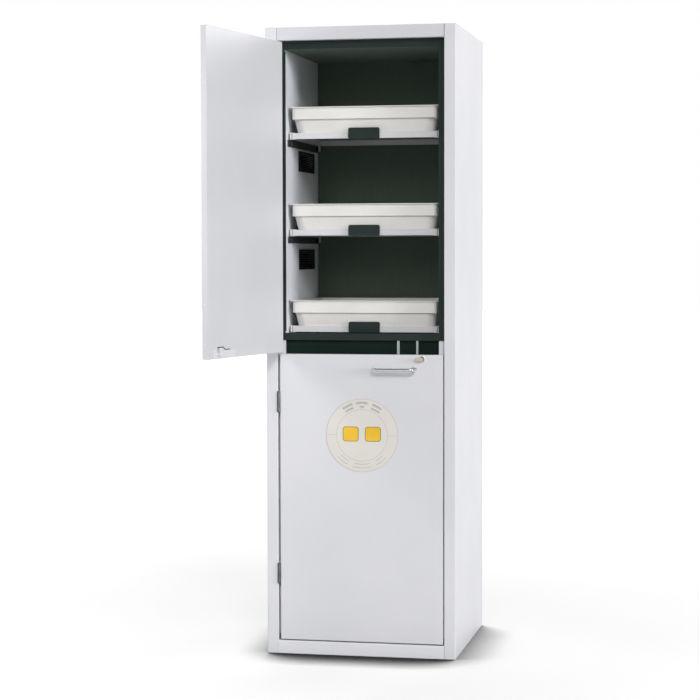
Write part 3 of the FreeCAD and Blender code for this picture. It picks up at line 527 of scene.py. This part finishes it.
def add_door_screws():
    """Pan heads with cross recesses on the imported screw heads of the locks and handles."""
    outline = [ring_loop(radius=3.7, steps=28), cross_loop(arm=2.1, half_width=0.45)]
    head = flat_mesh("pan_head", outline, thickness=0.55, bevel=0.25)
    spots = []
    for side in ("lower", "upper"):
        swung = side == "upper"
        case_seats = (DOOR_BACK, DOOR_BACK + CASE_THICKNESS)
        for across, seat in zip(CASE_SCREWS, case_seats):
            spot = place("back", across, seat + SCREW_STAND, LOCK_LEVEL[side], swung)
            spots.append((side + "_door", spot))
        for across in HANDLE_FEET:
            spot = place("back", across, DOOR_BACK + SCREW_STAND, HANDLE_LEVEL[side], swung)
            spots.append((side + "_door", spot))
    for index, (body, spot) in enumerate(spots, start=1):
        finished(f"door_screw_{index}", head.copy(), spot, "case", body)


def add_rear_screws():
    """Screws on washers along both sides of the rear panel."""
    outline = [ring_loop(radius=4.2, steps=28), cross_loop(arm=2.4, half_width=0.5)]
    head = flat_mesh("sheet_screw", outline, thickness=1.8, bevel=0.6)
    profile = [(0, 0.1), (5.2, 0.1), (5.2, 0.5), (4.6, 0.9), (0, 0.9)]
    washer = lathe_mesh("sheet_screw_seat", profile, steps=28)
    number = 0
    for across in (-REAR_SCREW_ACROSS, REAR_SCREW_ACROSS):
        for level in REAR_SCREW_LEVELS:
            number += 1
            spot = place("back", across, REAR, level)
            finished(f"rear_screw_{number}", head.copy(), spot, "screw", "cabinet")
            finished(f"rear_washer_{number}", washer.copy(), spot, "screw", "cabinet")


def add_hinge_caps():
    """Domed caps on the ends of the hinge pins."""
    profile = [(0, 0), (3.8, 0), (3.8, 0.6), (3.1, 1.2), (1.7, 1.5), (0, 1.6)]
    dome = lathe_mesh("pin_cap", profile, steps=24)
    flip = Matrix.Rotation(math.pi, 4, "X")
    for side, levels in HINGE_LEVELS.items():
        for index, level in enumerate(levels, start=1):
            high = place("top", *HINGE_LINE, level + HINGE_HEIGHT / 2)
            low = place("top", *HINGE_LINE, level - HINGE_HEIGHT / 2) @ flip
            finished(f"{side}_hinge_{index}_cap_top", dome.copy(), high, "hinge", "cabinet")
            finished(f"{side}_hinge_{index}_cap_foot", dome.copy(), low, "hinge", "cabinet")


def add_shelf_end_shade_strips():
    """Dark strips that paint the shade in the slits between the front of each shelf and the ends of
    its rails.
    """
    size = (4, 19, 0.7)
    past_side = 1
    above_foot = 10.5
    low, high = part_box("pull_out_1_shelf")
    across = (high[0] - low[0]) / 2 / MM + past_side
    front = low[1] / MM + HALF_DEPTH
    feet = {
        f"pull_out_{number}": [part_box(f"pull_out_{number}_shelf")[0][2] / MM]
        for number in PULL_OUTS
    }
    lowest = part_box("lower_shelves")[0][2] / MM
    feet["lower"] = [lowest + SHELF_PITCH * index for index in range(LOWER_SHELF_COUNT)]
    for name, levels in feet.items():
        boxes = [
            (place("front", side * across, front, level + above_foot), size)
            for level in levels
            for side in (-1, 1)
        ]
        # Painted shade: dark strips stand in for the shade in these slits
        mesh = box_mesh("shelf_end_shade_strips", boxes, bevel=0.15)
        body = "cabinet" if name == "lower" else name
        finished(f"{name}_shelf_end_shade_strips", mesh, Matrix.Identity(4), "rubber", body)


def add_grilles():
    """Louvred frames with slanting blades on the left wall."""
    length, height = GRILLE_SIZE
    border = 7
    border_thickness = 3
    blade_count = 9
    blade = (length - border, 5.6, 0.9)
    blade_out = 1.2
    slant = Matrix.Rotation(math.radians(-38), 4, "X")
    pitch = (height - 2 * border) / blade_count
    boxes = []
    for front, bottom in GRILLES:
        centre = place("right", -INNER_WALL, front + length / 2, bottom + height / 2)
        out = border_thickness / 2
        for side in (-1, 1):
            upright = centre @ moved(across=side * (length - border) / 2, out=out)
            boxes.append((upright, (border, height, border_thickness)))
            level = centre @ moved(up=side * (height - border) / 2, out=out)
            boxes.append((level, (length, border, border_thickness)))
        for index in range(blade_count):
            up = (index - (blade_count - 1) / 2) * pitch
            boxes.append((centre @ moved(up=up, out=blade_out) @ slant, blade))
    mesh = box_mesh("vent_louvres", boxes, bevel=0.25)
    grille = finished("vent_louvres", mesh, Matrix.Identity(4), "black", "cabinet")
    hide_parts("vent_grilles")


def add_duct_seal():
    """Rubber lip around the mouth of the duct collar."""
    lip_profile = (
        (0.2, -1.0), (0.2, 0.9), (1.2, 1.6), (3.6, 1.4), (4.6, 0.6), (4.8, 0.05), (2.4, 0.05),
        (0.2, -1.0),
    )
    profile = [(COLLAR_RADIUS + out, height) for out, height in lip_profile]
    lip = lathe_mesh("duct_seal", profile, steps=96)
    finished("duct_seal", lip, place("top", *COLLAR, TOP), "rubber", "cabinet")


def add_disc_print():
    """Raised print of the information disc: rings, graduations, bars and two plain amber fields."""
    across, level = DISC_CENTRE
    centre = place("front", across, DISC_FACE, level)
    print_height = 0.15

    def printed(name, loops, finish, out=0.0):
        mesh = flat_mesh(name, loops, print_height, bevel=0.02)
        finished(name, mesh, centre @ moved(out=out), finish, "lower_door")

    for name, outer, inner, steps in (("inner", 81.2, 80.2, 128), ("outer", 114.4, 113.2, 160)):
        rims = [ring_loop(outer, steps), ring_loop(inner, steps)]
        printed(f"disc_{name}_ring", rims, "rose")
    side_marks = [
        box_loop(left=-111, right=-81, bottom=0.2, top=1.2),
        box_loop(left=81, right=111, bottom=-0.8, top=0.2),
    ]
    printed("disc_side_marks", side_marks, "pale_print")

    # Rows of short marks above, each with its radii and its groups' middle and half span in degrees
    mark_rows = (
        (98.5, 105.5, ((117, 9.5), (90, 9.8), (62, 8.5))),
        (86.5, 92.5, ((117, 9.0), (90, 4.2), (62, 9.5))),
    )
    mark_width = 0.75
    mark_pitch = 1.5
    marks = []
    for near, far, groups in mark_rows:
        for middle, half_span in groups:
            angle = middle - half_span
            while angle < middle + half_span:
                marks.append(arc_loop(near, far, angle, angle + mark_width, steps=2))
                angle += mark_pitch
    printed("disc_graduations", marks, "grey_print")

    # Rows of plain bars below, each with its inner radius and its bars' angles in degrees
    bar_rows = (
        (101, ((221, 244), (253, 287), (296, 319))),
        (89.5, ((223, 242), (255, 285), (298, 317))),
    )
    bar_height = 1.8
    bars = [
        arc_loop(near, near + bar_height, start, end)
        for near, spans in bar_rows
        for start, end in spans
    ]
    printed("disc_bars", bars, "pale_print")

    half_width, bottom, top = 25, -19, 27
    rim = 1.4
    for side, middle in (("left", -36), ("right", 34.5)):
        left, right = middle - half_width, middle + half_width
        outline = box_loop(left, right, bottom, top, radius=9)
        printed(f"disc_{side}_rim", [outline], "dark")
        inside = box_loop(left + rim, right - rim, bottom + rim, top - rim, radius=8)
        printed(f"disc_{side}_field", [inside], "amber", out=print_height)


def add_lock_rings():
    """Turned rings on the lock faces."""
    profile = [(6.3, 0), (6.3, 0.5), (7.0, 0.9), (8.4, 0.9), (9.2, 0.45), (9.4, 0), (6.3, 0)]
    ring = lathe_mesh("lock_ring", profile)
    for side in ("lower", "upper"):
        spot = place("front", LOCK_ACROSS, LOCK_FACE, LOCK_LEVEL[side], swung=side == "upper")
        finished(f"{side}_lock_ring", ring.copy(), spot, "nickel", side + "_door")


# Surroundings


def distant_lamp(name, azimuth, elevation, softness, level, glint=True):
    """A distant broad lamp. Azimuth 0 is in front and 90 on the right, and angles are in degrees.

    Level is the brightness that it gives a white face turned to it. Without glint it isn't
    mirrored in glossy surfaces.
    """
    turn = math.radians(azimuth)
    lift = math.radians(elevation)
    direction = Vector((
        math.sin(turn) * math.cos(lift), -math.cos(turn) * math.cos(lift), math.sin(lift),
    ))
    lamp = bpy.data.lights.new(name, "SUN")
    lamp.energy = level * math.pi
    lamp.angle = math.radians(softness)
    holder = add_object(name, lamp)
    holder.rotation_euler = direction.to_track_quat("Z", "Y").to_euler()
    holder.visible_glossy = glint


def near_lamp(name, spot, target, size, level):
    """A round lamp close by, in metres. Level is the brightness of a white face at its target."""
    lamp = bpy.data.lights.new(name, "AREA")
    lamp.shape = "DISK"
    lamp.size = size
    holder = add_object(name, lamp)
    beam = Vector(spot) - Vector(target)
    lamp.energy = level * (math.pi * beam.length) ** 2
    holder.location = spot
    holder.rotation_euler = beam.to_track_quat("Z", "Y").to_euler()
    holder.visible_camera = False


def seen_directly(tree):
    """1 for camera, mirror and glass rays, so that they meet the plain white surroundings."""
    path = tree.nodes.new("ShaderNodeLightPath")
    total = path.outputs["Is Camera Ray"]
    for ray in ("Is Glossy Ray", "Is Transmission Ray"):
        add = tree.nodes.new("ShaderNodeMath")
        add.operation = "MAXIMUM"
        tree.links.new(total, add.inputs[0])
        tree.links.new(path.outputs[ray], add.inputs[1])
        total = add.outputs[0]
    return total


def surroundings(ambient):
    """White with a dark ceiling for the camera and mirrors, a dimmer even light for the rest."""
    world = bpy.data.worlds.new("studio")
    bpy.context.scene.world = world
    world.use_nodes = True
    tree = world.node_tree
    tree.nodes.clear()
    dim = tree.nodes.new("ShaderNodeBackground")
    dim.inputs["Color"].default_value = (1, 1, 1, 1)
    dim.inputs["Strength"].default_value = ambient
    white = tree.nodes.new("ShaderNodeBackground")
    direction = tree.nodes.new("ShaderNodeTexCoord").outputs["Generated"]
    up = tree.nodes.new("ShaderNodeSeparateXYZ")
    tree.links.new(direction, up.inputs[0])
    # From white at the lower height of the ray's direction to nearly black at the upper one
    ceiling = tree.nodes.new("ShaderNodeValToRGB")
    for stop, height, tone in zip(ceiling.color_ramp.elements, (0.12, 0.42), (1, 0.02)):
        stop.position = height
        stop.color = (tone, tone, tone, 1)
    tree.links.new(up.outputs["Z"], ceiling.inputs["Fac"])
    tree.links.new(ceiling.outputs["Color"], white.inputs["Color"])
    mix = tree.nodes.new("ShaderNodeMixShader")
    output = tree.nodes.new("ShaderNodeOutputWorld")
    tree.links.new(seen_directly(tree), mix.inputs["Fac"])
    tree.links.new(dim.outputs[0], mix.inputs[1])
    tree.links.new(white.outputs[0], mix.inputs[2])
    tree.links.new(mix.outputs[0], output.inputs["Surface"])


def add_floor(near_lift, far_lift):
    """Pale floor that reads as white away from the object and darkens softly before its base.

    The lifts are the floor's own brightness near the object and far from it, which only camera,
    mirror and glass rays meet.
    """
    bm = bmesh.new()
    bmesh.ops.create_circle(bm, cap_ends=True, segments=96, radius=40)
    mesh = mesh_from(bm, "floor")
    floor = add_object("floor", mesh)
    finish = Finish("pale_floor")
    finish.colour((176, 176, 177), (182, 182, 183), scale=1.2)
    finish.set(Roughness=0.9, Specular_IOR_Level=0.1)
    tree = finish.tree
    reach = finish.node("ShaderNodeVectorMath")
    reach.operation = "LENGTH"
    tree.links.new(finish.space, reach.inputs[0])
    lift = finish.node(
        "ShaderNodeMapRange", Value=reach.outputs["Value"],
        From_Min=0.8, From_Max=3.5, To_Min=near_lift, To_Max=far_lift,
    )
    strength = finish.node("ShaderNodeMath")
    strength.operation = "MULTIPLY"
    tree.links.new(seen_directly(tree), strength.inputs[0])
    tree.links.new(lift.outputs["Result"], strength.inputs[1])
    glow = finish.node("ShaderNodeEmission", Strength=strength.outputs[0])
    lit = tree.nodes.new("ShaderNodeAddShader")
    tree.links.new(finish.shader.outputs[0], lit.inputs[0])
    tree.links.new(glow.outputs[0], lit.inputs[1])
    # The floor is in contact shade where the object hides what is above and behind it
    up_and_back = finish.node("ShaderNodeCombineXYZ", X=-0.08, Y=0.68, Z=0.73).outputs["Vector"]
    contact = finish.node("ShaderNodeAmbientOcclusion", Distance=0.22, Normal=up_and_back)
    open_share = finish.node(
        "ShaderNodeMapRange", Value=contact.outputs["AO"], From_Min=0.42, From_Max=0.85,
    )
    shade = finish.node("ShaderNodeBsdfDiffuse", Color=linear(60, 60, 62))
    both = finish.node("ShaderNodeMixShader", Fac=open_share.outputs["Result"])
    tree.links.new(shade.outputs[0], both.inputs[1])
    tree.links.new(lit.outputs[0], both.inputs[2])
    tree.links.new(both.outputs[0], tree.nodes["Material Output"].inputs["Surface"])
    mesh.materials.append(finish.material)


def add_camera():
    """Camera at the photo's place, angle and field of view."""
    data = bpy.data.cameras.new("camera")
    data.sensor_width = CAMERA_SENSOR
    data.lens = CAMERA_LENS
    data.clip_end = 200
    camera = add_object("camera", data)
    camera.location = CAMERA_SPOT
    camera.rotation_euler = (math.pi / 2 - CAMERA_PITCH, CAMERA_ROLL, CAMERA_TURN)
    bpy.context.scene.camera = camera


for node, (finish, edge) in DRESS.items():
    dress(node, finish, edge)
add_door_screws()
add_rear_screws()
add_hinge_caps()
add_shelf_end_shade_strips()
add_grilles()
add_duct_seal()
add_disc_print()
add_lock_rings()

add_floor(near_lift=0.58, far_lift=0.85)
surroundings(ambient=0.08)
near_lamp("left_lamp", spot=(-1.3, -1.1, 1.7), target=(0, -0.3, 0.8), size=0.6, level=0.28)
distant_lamp("front_lamp", azimuth=0, elevation=20, softness=25, level=0.225, glint=False)
distant_lamp("key_lamp", azimuth=20, elevation=31, softness=14, level=0.31)
distant_lamp("front_right_lamp", azimuth=42, elevation=28, softness=25, level=0.15)
distant_lamp("right_lamp", azimuth=72, elevation=6, softness=16, level=0.5)
distant_lamp("rear_right_lamp", azimuth=143, elevation=15, softness=20, level=0.26)
distant_lamp("rear_left_lamp", azimuth=-160, elevation=20, softness=45, level=0.42)
distant_lamp("top_lamp", azimuth=-75, elevation=83, softness=10, level=0.05)
add_camera()
bpy.context.scene.view_settings.view_transform = "Standard"
